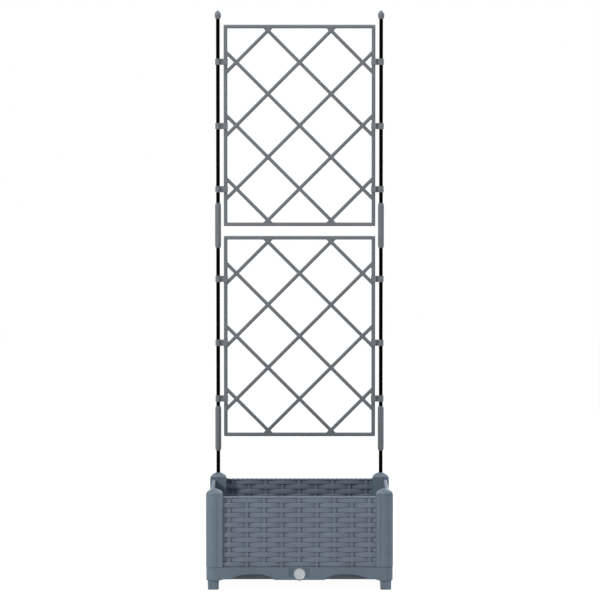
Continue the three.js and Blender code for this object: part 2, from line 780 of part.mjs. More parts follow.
const wideWall = makePanel(wallWidth);
const deepWall = makePanel(wallDepth);
const walls = [
  { name: 'front_panel', geometry: wideWall, turn: 0, x: 0, y: panelInset - halfDepth },
  { name: 'right_panel', geometry: deepWall, turn: Math.PI / 2, x: halfWidth - panelInset, y: 0 },
  { name: 'rear_panel', geometry: wideWall, turn: Math.PI, x: 0, y: halfDepth - panelInset },
  { name: 'left_panel', geometry: deepWall, turn: -Math.PI / 2, x: panelInset - halfWidth, y: 0 },
];
for (const wall of walls) {
  const panel = named(wall.name, wall.geometry, boxPlastic);
  panel.position.set(wall.x, wall.y, baseTop + fitGap);
  panel.rotation.z = wall.turn;
  planter.add(panel);
}

const badge = named('badge', makeBadge(), badgeSilver);
badge.position.set(0, badgeRecess - fitGap - skirtY, footHeight + badgeHeight);
badge.rotation.x = Math.PI / 2;
planter.add(badge);

const lowerTube = makeTube(lowerTubeLength);
const middleTube = makeTube(middleTubeLength);
const upperTube = makeTube(upperTubeLength);
const sleeve = makeSleeve();
const finial = makeFinial();
for (const [sideName, side] of [['left', -1], ['right', 1]]) {
  const pole = new THREE.Group();
  pole.position.set(side * poleX, poleY, 0);
  const thread = (name, geometry, material, z) => {
    const mesh = named(`${sideName}_${name}`, geometry, material);
    mesh.position.z = z;
    pole.add(mesh);
  };
  thread('lower_tube', lowerTube, coatedSteel, lowerTubeFoot);
  thread('lower_sleeve', sleeve, trellisPlastic, lowerSleeveMiddle);
  thread('middle_tube', middleTube, coatedSteel, middleTubeFoot);
  thread('upper_sleeve', sleeve, trellisPlastic, upperSleeveMiddle);
  thread('upper_tube', upperTube, coatedSteel, upperTubeFoot);
  thread('finial', finial, trellisPlastic, finialFoot);
  planter.add(pole);
}

const lattice = makeLattice();
const clip = makeClip();
const trellises = [
  { name: 'upper', foot: upperLatticeFoot, sleeveMiddle: upperSleeveMiddle, places: upperClipPlaces },
  { name: 'lower', foot: lowerLatticeFoot, sleeveMiddle: lowerSleeveMiddle, places: lowerClipPlaces },
];
for (const { name, foot: latticeFoot, sleeveMiddle, places } of trellises) {
  const panel = named(`${name}_lattice`, lattice, trellisPlastic);
  panel.position.set(0, poleY, latticeFoot);
  planter.add(panel);

  const bottomClip = sleeveMiddle + sleeveLength / 2 + places.aboveSleeve;
  const clipHeights = {
    bottom: bottomClip,
    middle: bottomClip + places.step,
    top: latticeFoot + latticeHeight - places.belowTop,
  };
  for (const [sideName, side] of [['left', -1], ['right', 1]]) {
    for (const [level, height] of Object.entries(clipHeights)) {
      const mesh = named(`${name}_${sideName}_${level}_clip`, clip, trellisPlastic);
      mesh.position.set(side * poleX, poleY, height);
      if (side > 0) mesh.rotation.y = Math.PI;
      planter.add(mesh);
    }
  }
}

export default planter;
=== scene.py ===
import math

import bpy
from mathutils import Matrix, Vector
from mathutils.geometry import tessellate_polygon


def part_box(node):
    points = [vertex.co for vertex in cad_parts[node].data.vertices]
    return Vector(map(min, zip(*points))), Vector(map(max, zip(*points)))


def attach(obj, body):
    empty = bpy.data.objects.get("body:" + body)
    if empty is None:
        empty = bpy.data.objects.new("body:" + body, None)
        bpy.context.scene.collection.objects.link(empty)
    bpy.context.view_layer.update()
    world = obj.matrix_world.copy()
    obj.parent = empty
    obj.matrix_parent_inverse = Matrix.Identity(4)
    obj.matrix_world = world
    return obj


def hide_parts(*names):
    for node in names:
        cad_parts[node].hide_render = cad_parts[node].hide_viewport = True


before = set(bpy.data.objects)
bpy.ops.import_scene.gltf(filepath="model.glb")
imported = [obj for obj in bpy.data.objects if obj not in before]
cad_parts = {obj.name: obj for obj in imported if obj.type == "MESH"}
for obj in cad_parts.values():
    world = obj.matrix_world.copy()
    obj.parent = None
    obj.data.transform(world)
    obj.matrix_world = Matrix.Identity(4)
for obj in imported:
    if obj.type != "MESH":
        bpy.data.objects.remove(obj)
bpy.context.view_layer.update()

# ================================================================ Studio
# A white room with a pale floor, seen from in front and a little above. The main lamp stands at the upper
# left, as the photograph's shading shows. Weaker ones at the right, overhead and behind open the far sides.

view_distance = 7.525
view_height = 0.977
view_pitch = 2.79  # degrees down
focal_pixels = 3449  # in a picture 600 pixels wide
picture_pixels = 600
sensor_width = 36
centre_offset_pixels = 0.5

view_data = bpy.data.cameras.new("view")
view_data.sensor_width = sensor_width
view_data.lens = focal_pixels / picture_pixels * sensor_width
view_data.shift_x = centre_offset_pixels / picture_pixels
view = bpy.data.objects.new("view", view_data)
view.location = (0, -view_distance, view_height)
view.rotation_euler = (math.radians(90 - view_pitch), 0, 0)
bpy.context.scene.collection.objects.link(view)
bpy.context.scene.camera = view
bpy.context.scene.view_settings.view_transform = "Standard"


def hang_lamp(name, place, aim_height, size, power, colour):
    target = (0, 0, aim_height)
    data = bpy.data.lights.new(name, "AREA")
    data.shape = "SQUARE"
    data.size = size
    data.energy = power
    data.color = colour
    lamp = bpy.data.objects.new(name, data)
    lamp.location = place
    lamp.rotation_euler = (Vector(target) - Vector(place)).to_track_quat("-Z", "Y").to_euler()
    bpy.context.scene.collection.objects.link(lamp)


hang_lamp("left_lamp", (-3.1, -2.5, 2.5), aim_height=0.4, size=0.9, power=119, colour=(1.0, 0.99, 0.97))
hang_lamp("right_lamp", (3.2, 0.2, 1.4), aim_height=0.4, size=1.2, power=32, colour=(0.8, 0.84, 1.0))
hang_lamp("top_lamp", (0.3, -0.4, 3.8), aim_height=0.4, size=1.4, power=62, colour=(1.0, 1.0, 1.0))
hang_lamp("rear_lamp", (1.4, 3.4, 2.4), aim_height=0.5, size=1.6, power=70, colour=(0.95, 0.97, 1.0))

# What the camera and mirror-like surfaces see is plain white. All else gets a softer white from all round.
soft_strength = 0.29
room = bpy.data.worlds.new("white_room")
room.use_nodes = True
bpy.context.scene.world = room
links = room.node_tree.links
for node in list(room.node_tree.nodes):
    room.node_tree.nodes.remove(node)
room_output = room.node_tree.nodes.new("ShaderNodeOutputWorld")
room_mix = room.node_tree.nodes.new("ShaderNodeMixShader")
soft_light = room.node_tree.nodes.new("ShaderNodeBackground")
soft_light.inputs["Color"].default_value = (0.96, 0.98, 1.0, 1)
soft_light.inputs["Strength"].default_value = soft_strength
white_wall = room.node_tree.nodes.new("ShaderNodeBackground")
white_wall.inputs["Color"].default_value = (1, 1, 1, 1)
white_wall.inputs["Strength"].default_value = 1


def seen_directly(tree):
    """1 on camera, mirror and glass rays, and 0 on the rays that light surfaces."""
    path = tree.nodes.new("ShaderNodeLightPath")
    seen = path.outputs["Is Camera Ray"]
    for kind in ("Is Glossy Ray", "Is Transmission Ray"):
        either = tree.nodes.new("ShaderNodeMath")
        either.operation = "MAXIMUM"
        tree.links.new(seen, either.inputs[0])
        tree.links.new(path.outputs[kind], either.inputs[1])
        seen = either.outputs[0]
    return seen


links.new(seen_directly(room.node_tree), room_mix.inputs[0])
links.new(soft_light.outputs[0], room_mix.inputs[1])
links.new(white_wall.outputs[0], room_mix.inputs[2])
links.new(room_mix.outputs[0], room_output.inputs["Surface"])

# The floor is a wide disc. Seen directly it is white with the object's soft shadow left in it.
floor_radius = 9
floor_facets = 64
floor_drop = 0.0005  # below the feet's soles
shadow_share = 0.08  # how much of the floor's brightness comes from the lamps and so can be shaded
even_strength = 0.975
rim_angles = [2 * math.pi * i / floor_facets for i in range(floor_facets)]
rim = [(floor_radius * math.cos(angle), floor_radius * math.sin(angle), 0) for angle in rim_angles]
floor_mesh = bpy.data.meshes.new("floor")
floor_mesh.from_pydata(rim, [], [list(range(floor_facets))])
floor = bpy.data.objects.new("floor", floor_mesh)
floor.location.z = -floor_drop
bpy.context.scene.collection.objects.link(floor)
floor_paint = bpy.data.materials.new("floor_white")
floor_paint.use_nodes = True
tree = floor_paint.node_tree
tree.nodes.remove(tree.nodes["Principled BSDF"])
matt_white = tree.nodes.new("ShaderNodeBsdfDiffuse")
matt_white.inputs["Color"].default_value = (0.8, 0.8, 0.8, 1)
shaded_part = tree.nodes.new("ShaderNodeBsdfDiffuse")
shaded_part.inputs["Color"].default_value = (shadow_share, shadow_share, shadow_share, 1)
even_part = tree.nodes.new("ShaderNodeEmission")
even_part.inputs["Color"].default_value = (1, 1, 1, 1)
even_part.inputs["Strength"].default_value = even_strength
both_parts = tree.nodes.new("ShaderNodeAddShader")
floor_mix = tree.nodes.new("ShaderNodeMixShader")
tree.links.new(shaded_part.outputs[0], both_parts.inputs[0])
tree.links.new(even_part.outputs[0], both_parts.inputs[1])
tree.links.new(seen_directly(tree), floor_mix.inputs[0])
tree.links.new(matt_white.outputs[0], floor_mix.inputs[1])
tree.links.new(both_parts.outputs[0], floor_mix.inputs[2])
tree.links.new(floor_mix.outputs[0], tree.nodes["Material Output"].inputs["Surface"])
floor_mesh.materials.append(floor_paint)

# ================================================================ Base moulding
# One injection-moulded tray in blue-grey polypropylene. An arched skirt runs round it, solid corners take
# the feet from below and the posts from above, and the pan inside has drain holes. The mould's eroded
# finish leaves a fine grain.

mm = 0.001
blue_grey = (0.122, 0.160, 0.196)


def moulded_plastic(name, colour, grain=0.5, roughness=0.45):
    """Satin moulded plastic: fine grain and cloudy colour, with a painted highlight on ridges and painted
    shade in hollows.
    """
    material = bpy.data.materials.new(name)
    material.use_nodes = True
    nodes, links = material.node_tree.nodes, material.node_tree.links
    surface = nodes["Principled BSDF"]
    surface.inputs["Metallic"].default_value = 0
    surface.inputs["IOR"].default_value = 1.49
    surface.inputs["Specular IOR Level"].default_value = 0.15
    place = nodes.new("ShaderNodeTexCoord").outputs["Object"]

    def noise(scale, detail):
        node = nodes.new("ShaderNodeTexNoise")
        node.inputs["Scale"].default_value = scale
        node.inputs["Detail"].default_value = detail
        links.new(place, node.inputs["Vector"])
        return node.outputs["Fac"]

    def spread(source, low, high, to_low, to_high):
        node = nodes.new("ShaderNodeMapRange")
        node.inputs["From Min"].default_value = low
        node.inputs["From Max"].default_value = high
        node.inputs["To Min"].default_value = to_low
        node.inputs["To Max"].default_value = to_high
        links.new(source, node.inputs["Value"])
        return node.outputs["Result"]

    def times(a, b):
        node = nodes.new("ShaderNodeMath")
        node.operation = "MULTIPLY"
        links.new(a, node.inputs[0])
        links.new(b, node.inputs[1])
        return node.outputs[0]

    clouds = spread(noise(14, 3), 0.3, 0.7, 0.95, 1.05)
    specks = spread(noise(420, 2), 0.35, 0.65, 0.975, 1.025)
    # painted light: pointiness lightens ridges as a painted highlight and darkens hollows as painted shade
    painted_highlight_and_hollow_shade = spread(nodes.new("ShaderNodeNewGeometry").outputs["Pointiness"], 0.42, 0.58, 0.82, 1.18)
    # the random clouds and specks, times the painted highlight and shade
    cloud_speck_and_painted_light = times(times(clouds, specks), painted_highlight_and_hollow_shade)
    colour_with_painted_light = nodes.new("ShaderNodeVectorMath")
    colour_with_painted_light.operation = "SCALE"
    colour_with_painted_light.inputs[0].default_value = colour
    links.new(cloud_speck_and_painted_light, colour_with_painted_light.inputs["Scale"])
    links.new(colour_with_painted_light.outputs[0], surface.inputs["Base Color"])

    uneven = spread(noise(60, 4), 0.3, 0.7, roughness - 0.06, roughness + 0.08)
    links.new(uneven, surface.inputs["Roughness"])
    texture = nodes.new("ShaderNodeBump")
    texture.inputs["Strength"].default_value = grain
    texture.inputs["Distance"].default_value = 0.12 * mm
    links.new(noise(1500, 2), texture.inputs["Height"])
    links.new(texture.outputs[0], surface.inputs["Normal"])
    return material


box_plastic = moulded_plastic("blue_grey_plastic", blue_grey)


def mesh_piece(name, points, faces):
    """A mesh in the part's own frame from points in millimetres."""
    mesh = bpy.data.meshes.new(name)
    mesh.from_pydata([Vector(point) * mm for point in points], [], faces)
    piece = bpy.data.objects.new(name, mesh)
    bpy.context.scene.collection.objects.link(piece)
    return piece


def dress(piece, material, slot, body, *nodes, crease=38):
    """Smooths a piece up to its creases, gives it its material and seats it in its nodes' place."""
    mesh = piece.data
    mesh.materials.clear()
    mesh.materials.append(material)
    for face in mesh.polygons:
        face.use_smooth = True
    mesh.set_sharp_from_angle(angle=math.radians(crease))
    even = piece.modifiers.new("even_shading", "WEIGHTED_NORMAL")
    even.keep_sharp = True
    even.weight = 80
    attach(piece, body)
    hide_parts(*nodes)
    return piece


def rounded_outline(corners):
    """A closed outline from (x, y, radius) corners, each radius an arc that touches both sides."""
    outline = []
    for i, (x, y, radius) in enumerate(corners):
        here = Vector((x, y))
        if radius == 0:
            outline.append(here)
            continue
        back = (Vector(corners[i - 1][:2]) - here).normalized()
        on = (Vector(corners[(i + 1) % len(corners)][:2]) - here).normalized()
        half = back.angle(on) / 2
        centre = here + (back + on).normalized() * radius / math.sin(half)
        start = here + back * radius / math.tan(half) - centre
        turn = start.angle_signed(here + on * radius / math.tan(half) - centre)
        steps = 2 + int(radius / 2)
        for k in range(steps + 1):
            angle = -turn * k / steps
            outline.append(centre + Vector((start.x * math.cos(angle) - start.y * math.sin(angle),
                                            start.x * math.sin(angle) + start.y * math.cos(angle))))
    return outline


def inset_ring(ring, distance):
    """A closed ring moved to its left by a distance, with its corners mitred."""
    moved = []
    for i, here in enumerate(ring):
        back = (here - ring[i - 1]).normalized()
        on = (ring[(i + 1) % len(ring)] - here).normalized()
        left_back, left_on = Vector((-back.y, back.x)), Vector((-on.y, on.x))
        moved.append(here + (left_back + left_on) * distance / (1 + left_back.dot(left_on)))
    return moved


def soft_edges(low, high, radius, turns=3):
    """(inset, height) steps up the side of a plate whose two outer edges are rounded."""
    angles = [math.pi / 2 * k / turns for k in range(turns + 1)]
    arc = [(radius * (1 - math.sin(angle)), radius * (1 - math.cos(angle))) for angle in angles]
    lower = [(inset, low + rise) for inset, rise in arc]
    return lower + [(inset, high - rise) for inset, rise in reversed(arc)]


def plate(outline, holes, steps):
    """Points and faces of a plate: outline anticlockwise, holes clockwise, and steps up its side."""
    points, faces = [], []
    loops = [outline, *holes]
    for ring in loops:
        start, count = len(points), len(ring)
        for inset, z in steps:
            moved = inset_ring(ring, inset) if inset else ring
            points += [(p.x, p.y, z) for p in moved]
        for level in range(len(steps) - 1):
            for i in range(count):
                a = start + level * count + i
                b = start + level * count + (i + 1) % count
                faces.append((a, b, b + count, a + count))
    for level, z in ((0, steps[0][1]), (len(steps) - 1, steps[-1][1])):
        rings, numbers, start = [], [], 0
        for ring in loops:
            first = start + level * len(ring)
            rings.append([Vector(points[first + i][:2]).to_3d() for i in range(len(ring))])
            numbers += range(first, first + len(ring))
            start += len(ring) * len(steps)
        flat = [point for ring in rings for point in ring]
        for triangle in tessellate_polygon(rings):
            a, b, c = (flat[i] for i in triangle)
            up = (b - a).cross(c - a).z > 0
            corners = [numbers[i] for i in triangle]
            faces.append(corners if up == (level > 0) else corners[::-1])
    return points, faces


def circle(radius, facets, clockwise=False):
    way = -1 if clockwise else 1
    angles = [way * 2 * math.pi * i / facets for i in range(facets)]
    return [Vector((radius * math.cos(angle), radius * math.sin(angle))) for angle in angles]


def rectangle(x0, x1, y0, y1, radius=0):
    return rounded_outline([(x0, y0, radius), (x1, y0, radius), (x1, y1, radius), (x0, y1, radius)])


def square(half, radius=0):
    return rectangle(-half, half, -half, half, radius)


def turned_about(points, angle, x=0, y=0, z=0):
    """Points turned about the upright axis and moved."""
    c, s = math.cos(angle), math.sin(angle)
    return [(px * c - py * s + x, px * s + py * c + y, pz + z) for px, py, pz in points]


def combine(operation, piece, *others):
    """Welds other pieces to a piece, or cuts them out of it, and removes them."""
    for other in others:
        step = piece.modifiers.new(other.name, "BOOLEAN")
        step.operation = operation
        step.solver = "MANIFOLD"
        step.object = other
    bpy.context.view_layer.update()
    mesh = bpy.data.meshes.new_from_object(piece.evaluated_get(bpy.context.evaluated_depsgraph_get()))
    piece.modifiers.clear()
    piece.data = mesh
    for other in others:
        bpy.data.objects.remove(other)
    return piece


low, high = (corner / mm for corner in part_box("base"))
base_foot = low.z
wall_low, wall_high = (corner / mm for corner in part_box("front_panel"))
fit_gap = 0.3  # between pieces that stand on each other or plug together
base_top = wall_low.z - fit_gap
skirt_inset = 0.6  # the skirt stands this far behind the posts' faces
half_box = high.x + skirt_inset
skirt_wall = 2.8
skirt_height = base_top - base_foot
skirt_round = 0.9
lower_round = 1.7
post_side = 36
post_round = 19
reach = half_box - post_side  # half the width between two posts

# the skirt's lower edge above the base's underside: a deep lip in the middle, a flat-topped arch on each
# side, a shallower lip past it, and a slope down to the corner
arch_foot = 5
arch_rise = 9.5
arch_start = 45
arch_end = reach - 6
arch_top = (0.37, 0.57)  # the shares of the arch's length between which it is level
middle_lip, middle_lip_end = 2.3, 53
outer_lip, outer_lip_start = 3.6, 145
lip_blend = 6
corner_slope = (reach - 2, reach + 10)


def eased(share):
    return 0.5 - 0.5 * math.cos(math.pi * min(1, max(0, share)))


def skirt_edge(x):
    distance = abs(x)
    share = (distance - arch_start) / (arch_end - arch_start)
    climb = min(share / arch_top[0], (1 - share) / (1 - arch_top[1]))
    arch = arch_foot + arch_rise * eased(climb)
    inner = middle_lip + (arch - middle_lip) * eased((distance - middle_lip_end) / lip_blend)
    edge = inner + (outer_lip - inner) * eased((distance - outer_lip_start + lip_blend / 2) / lip_blend)
    return edge * min(1, max(0, (corner_slope[1] - distance) / (corner_slope[1] - corner_slope[0])))


def skirt_ring():
    """The skirt as one wall round the base, rounded at the corners and as tall as its lower edge allows."""
    half = half_box - skirt_inset
    radius = post_round - skirt_inset
    side_steps, corner_steps = 120, 10
    stations = []
    for turn in range(4):
        angle = turn * math.pi / 2
        for k in range(side_steps + 1):
            x = (half - radius) * (2 * k / side_steps - 1)
            stations.append((*turned_about([(x, -half, 0)], angle)[0][:2],
                             *turned_about([(0, -1, 0)], angle)[0][:2], skirt_edge(x)))
        for k in range(1, corner_steps):
            around = angle - math.pi / 2 + math.pi / 2 * k / corner_steps
            centre = turned_about([(half - radius, radius - half, 0)], angle)[0]
            nx, ny = math.cos(around), math.sin(around)
            stations.append((centre[0] + radius * nx, centre[1] + radius * ny, nx, ny, 0))
    arc = [(1 - math.sin(a), 1 - math.cos(a)) for a in (math.pi / 2 * k / 4 for k in range(5))]
    section = [(inset * lower_round, rise * lower_round, True) for inset, rise in arc]
    section += [(inset * skirt_round, rise * skirt_round, False) for inset, rise in reversed(arc)]
    section += [(skirt_wall, 0, False), (skirt_wall, 0, True)]
    points, faces = [], []
    for x, y, nx, ny, edge in stations:
        for inset, rise, from_edge in section:
            z = edge + rise if from_edge else skirt_height - rise
            points.append((x - nx * inset, y - ny * inset, base_foot + z))
    count = len(section)
    for i in range(len(stations)):
        j = (i + 1) % len(stations)
        for k in range(count):
            m = (k + 1) % count
            faces.append((i * count + k, j * count + k, j * count + m, i * count + m))
    return mesh_piece("base_tray", points, faces)


def box_plate(name, x0, x1, y0, y1, z0, z1, radius=0.0):
    """A rectangular plate, its upper and lower edges rounded where a radius is given."""
    steps = soft_edges(z0, z1, radius) if radius else [(0, z0), (0, z1)]
    return mesh_piece(name, *plate(rectangle(x0, x1, y0, y1), [], steps))


def inner_pocket(inset):
    """The L-shaped pocket in a post, on the side that faces into the box, about the post's axis."""
    near, far, core = -4.8 + inset, 15.6 - inset, 7.0 + inset
    return rounded_outline([(core, near, 0.5), (far, near, 0.5), (far, far, 0.5), (near, far, 0.5),
                            (near, core, 0.5), (core, core, 0.5)])


pan_half = half_box - 13.6
pan_wall = 2.5
ledge_thickness = 3
pan_rise = 2.5
pan_floor = 3
upstand_height = 5.5
upstand_setback = 4  # from the posts' inner faces
rib_place, rib_half, rib_setback = 55, 1.5, 12
ledge_round = 17
block_levels = ((26, 0.15), (35.4, 5.5))  # the side of a corner block, and its foot above the underside
peg_height = 8
pole_seat_depth = 14.5
bore_radius = 4.5  # of everything that a pole passes through
drain_radius, drain_spacing = 4.5, 110
socket_half, socket_depth = 9.2, 12.3
post_axis = half_box - post_side / 2
corner_turns = {"front_left": (-1, -1, 0), "front_right": (1, -1, math.pi / 2),
                "rear_right": (1, 1, math.pi), "rear_left": (-1, 1, -math.pi / 2)}


def at_corner(points, x, y, turn):
    """Points drawn about the front left post's axis, turned and moved to another corner's post."""
    return turned_about(points, turn, x * post_axis, y * post_axis)


tray = skirt_ring()
additions = []
ledge_outer = half_box - skirt_inset - skirt_wall / 2
pan_inside = square(pan_half - pan_wall)[::-1]
additions.append(mesh_piece("ledge", *plate(square(ledge_outer, ledge_round), [pan_inside],
                                            [(0, base_top - ledge_thickness), (0, base_top)])))
additions.append(mesh_piece("pan_wall", *plate(square(pan_half), [pan_inside],
                                               [(0, base_foot + pan_rise), (0, base_top - 1)])))
floor_edge = pan_half - 0.5
additions.append(box_plate("pan_floor", -floor_edge, floor_edge, -floor_edge, floor_edge,
                           base_foot + pan_rise, base_foot + pan_rise + pan_floor))
for side in (-1, 1):
    for across in (False, True):
        a, b = side * rib_place - rib_half, side * rib_place + rib_half
        run = pan_half - rib_setback
        ends = (a, b, -run, run) if across else (-run, run, a, b)
        additions.append(box_plate("rib", *ends, base_foot + 0.5, base_foot + pan_rise + 1))
        run = reach - upstand_setback
        a, b = sorted((side * (pan_half - 0.02), side * (pan_half - pan_wall)))
        ends = (a, b, -run, run) if across else (-run, run, a, b)
        additions.append(box_plate("upstand", *ends, base_top - 2, base_top + upstand_height, 0.6))
for x, y, turn in corner_turns.values():
    for block_side, block_low in block_levels:
        inner = half_box - skirt_inset - block_side
        block = rounded_outline([(-ledge_outer, -ledge_outer, ledge_round), (-inner, -ledge_outer, 0.6),
                                 (-inner, -inner, 0.6), (-ledge_outer, -inner, 0.6)])
        block_top = base_top - 0.4 - block_low / 20  # the two blocks' tops stay apart inside the ledge
        points, faces = plate(block, [], [(0, base_foot + block_low), (0, block_top)])
        additions.append(mesh_piece("corner_block", turned_about(points, turn), faces))
    points, faces = plate(inner_pocket(fit_gap), [], soft_edges(base_top - 1, base_top + peg_height, 0.5))
    additions.append(mesh_piece("peg", at_corner(points, x, y, turn), faces))

badge_low, badge_high = (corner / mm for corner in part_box("badge"))
badge_z = (badge_low.z + badge_high.z) / 2
skirt_face = -(half_box - skirt_inset)


def facing_front(points):
    """Points drawn flat, stood up on the badge's centre: their heights run out of the front skirt."""
    return [(px, skirt_face - pz, badge_z + py) for px, py, pz in points]


def front_disc(name, radius, facets, steps):
    """A round piece on the badge's centre, its steps running out of the front skirt."""
    points, faces = plate(circle(radius, facets), [], steps)
    return mesh_piece(name, facing_front(points), faces)


boss_radius, recess_radius, stud_hole_radius = 14.1, 12.3, 2.5
boss_edge = [(0, -skirt_wall), (0, -0.5), (0.15, -0.15), (0.5, 0)]
additions.append(front_disc("badge_boss", boss_radius, 48, boss_edge))
combine("UNION", tray, *additions)

cuts = []
field_half, field_depth = 21.5, 0.8  # the shallow field round the badge's boss
field_low, field_high = base_foot + 8 - badge_z, base_top - 2.2 - badge_z
field_points, field_faces = plate(rectangle(-field_half, field_half, field_low, field_high), [],
                                  [(0.5, -field_depth), (0, 0.02), (0, 1)])
field_cut = mesh_piece("badge_field", facing_front(field_points), field_faces)
boss_left = front_disc("boss_left", boss_radius, 48, [(0, -2), (0, -0.3), (0.4, 0), (0.4, 2)])
cuts.append(combine("DIFFERENCE", field_cut, boss_left))
cuts.append(front_disc("badge_recess", recess_radius, 48, [(0, -1.5), (0, -0.3), (-0.3, 0.02), (-0.3, 1)]))
cuts.append(front_disc("stud_hole", stud_hole_radius, 16, [(0, -skirt_wall - 1), (0, -1)]))
drains = [(0, 0)] + [(x * drain_spacing, y * drain_spacing) for x, y, _ in corner_turns.values()]
for x, y in drains:
    points, faces = plate(circle(drain_radius, 24), [], [(0, base_foot), (0, base_foot + 20)])
    cuts.append(mesh_piece("drain", turned_about(points, 0, x, y), faces))
for name in corner_turns:
    foot_low, foot_high = (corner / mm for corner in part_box(f"{name}_foot"))
    middle = (foot_low + foot_high) / 2
    cuts.append(box_plate("foot_socket", middle.x - socket_half, middle.x + socket_half,
                          middle.y - socket_half, middle.y + socket_half,
                          base_foot - 1, base_foot + socket_depth))
for side in (-1, 1):
    points, faces = plate(circle(bore_radius, 24), [], [(0, base_top - pole_seat_depth), (0, base_top + 1)])
    cuts.append(mesh_piece("pole_seat", turned_about(points, 0, side * post_axis, post_axis), faces))
combine("DIFFERENCE", tray, *cuts)
dress(tray, box_plastic, "box_plastic", "planter", "base")

# ================================================================ Feet
# Four short square feet in the same plastic, pushed up into the base's corners. Each draws in a little
# towards the ground and carries the whole corner's weight.

foot_half, foot_round = 12, 3
foot_draw = 0.6  # how far each side draws in towards the ground
ground_edge = 0.9
foot_top = base_foot - fit_gap
spigot_half, spigot_round, spigot_height = 8.9, 0.8, 12
foot_steps = [(foot_draw + ground_edge, 0), (foot_draw + 0.45, 0.12), (foot_draw + 0.12, 0.45),
              (foot_draw, ground_edge), (0.05, foot_top - 0.6), (0.15, foot_top - 0.2), (0.5, foot_top)]
spigot_steps = soft_edges(foot_top - 6, base_foot + spigot_height, 0.5)

for name in corner_turns:
    foot_low, foot_high = (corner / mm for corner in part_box(f"{name}_foot"))
    middle = (foot_low + foot_high) / 2
    points, faces = plate(square(foot_half, foot_round), [], foot_steps)
    foot = mesh_piece(f"{name}_foot_block", turned_about(points, 0, middle.x, middle.y), faces)
    points, faces = plate(square(spigot_half, spigot_round), [], spigot_steps)
    spigot = mesh_piece("spigot", turned_about(points, 0, middle.x, middle.y), faces)
    combine("UNION", foot, spigot)
    dress(foot, box_plastic, "box_plastic", "planter", f"{name}_foot")

# ================================================================ Corner posts
# Hollow mouldings of the same plastic with one broad round edge outwards. Slots down two faces take the
# walls' tongues, and a bore down the middle takes a pole at the rear. Pegs of the base hold their feet.

slot_near, slot_far, slot_end = -11.8, -7.2, 7.7
half_post = post_side / 2


def outer_pocket(inset):
    far, end, core = -15.6 + inset, 2.9 - inset, -7.0 - inset
    return rounded_outline([(far, far, post_round - 2.4 - inset), (end, far, 0.6), (end, core, 0.6),
                            (core, core, 0.6), (core, end, 0.6), (far, end, 0.6)])


groove_at = 7.4  # a shallow line down both outer faces parts the round column from the wall's strip
groove_half = 2.6
groove_depth = 0.9
post_outline = rounded_outline([
    (-half_post, -half_post, post_round),
    (groove_at - groove_half, -half_post, 0.8), (groove_at, groove_depth - half_post, 0.8),
    (groove_at + groove_half, -half_post, 0.8),
    (half_post, -half_post, 0.7),
    (half_post, slot_near, 0.3), (slot_end, slot_near, 0.3),
    (slot_end, slot_far, 0.3), (half_post, slot_far, 0.3),
    (half_post, half_post, 0.7),
    (slot_far, half_post, 0.3), (slot_far, slot_end, 0.3),
    (slot_near, slot_end, 0.3), (slot_near, half_post, 0.3),
    (-half_post, half_post, 0.7),
    (-half_post, groove_at + groove_half, 0.8), (groove_depth - half_post, groove_at, 0.8),
    (-half_post, groove_at - groove_half, 0.8),
])
post_holes = [circle(bore_radius, 32, clockwise=True), inner_pocket(0)[::-1], outer_pocket(0)[::-1]]

for name, place in corner_turns.items():
    post_low, post_high = (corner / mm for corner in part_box(f"{name}_post"))
    points, faces = plate(post_outline, post_holes, soft_edges(post_low.z, post_high.z, 0.25, turns=2))
    post = mesh_piece(f"{name}_corner_post", at_corner(points, *place), faces)
    dress(post, box_plastic, "box_plastic", "planter", f"{name}_post")

# ================================================================ Post caps
# Domed caps of the same plastic with the post's own outline, plugged into its pockets. They rise on a full
# curve from a low upright brim. The two at the rear are pierced for the poles.

cap_half = 17.4
cap_round = 18.4
dome_power = 1.5  # of the dome's superellipse: 1 is a cone, 2 an ellipse
dome_levels = 16
brim_height = 1.2
lip_width, lip_drop = 0.5, 0.75  # the flat lip round a pierced cap's bore lies below the crown


def cap_surface(foot_z, top_z, pierced):
    """A brim and a dome in scaled copies of the cap's outline, closed at the crown or bored through."""
    outline = rounded_outline([(-cap_half, -cap_half, cap_round), (cap_half, -cap_half, 2.2),
                               (cap_half, cap_half, 2.2), (-cap_half, cap_half, 2.2)])
    dome_foot = foot_z + brim_height
    levels = [(1 - 0.25 / cap_half, foot_z), (1, foot_z + 0.25)]
    last = dome_levels - 2 if pierced else dome_levels
    for k in range(last):
        angle = math.pi / 2 * k / dome_levels
        levels.append((math.cos(angle) ** (2 / dome_power),
                       dome_foot + (top_z - dome_foot) * math.sin(angle) ** (2 / dome_power)))
    rings = [[(p.x * scale, p.y * scale, z) for p in outline] for scale, z in levels]
    if pierced:
        lip, lip_z = bore_radius + lip_width, top_z - lip_drop
        rings = [ring for ring in rings
                 if min(math.hypot(x, y) for x, y, _ in ring) > lip + 0.4 or ring[0][2] < dome_foot + 1]
        angles = [math.atan2(p.y, p.x) for p in outline]
        for radius, z in ((lip, lip_z), (bore_radius + 0.12, lip_z - 0.12),
                          (bore_radius, lip_z - 0.5), (bore_radius, foot_z)):
            rings.append([(radius * math.cos(angle), radius * math.sin(angle), z) for angle in angles])
    points = [point for ring in rings for point in ring]
    count = len(outline)
    faces = []
    for level in range(len(rings) - 1):
        for i in range(count):
            a, b = level * count + i, level * count + (i + 1) % count
            faces.append((a, b, b + count, a + count))
    if pierced:
        top = (len(rings) - 1) * count
        for i in range(count):
            a, b = (i + 1) % count, i
            faces.append((a, b, top + b, top + a))
    else:
        points.append((0, 0, top_z))
        crown = len(points) - 1
        top = (len(rings) - 1) * count
        faces += [(top + i, top + (i + 1) % count, crown) for i in range(count)]
        faces.append(tuple(reversed(range(count))))
    return points, faces


plug_sink = 0.6  # how far the plugs and tabs run up into the brim
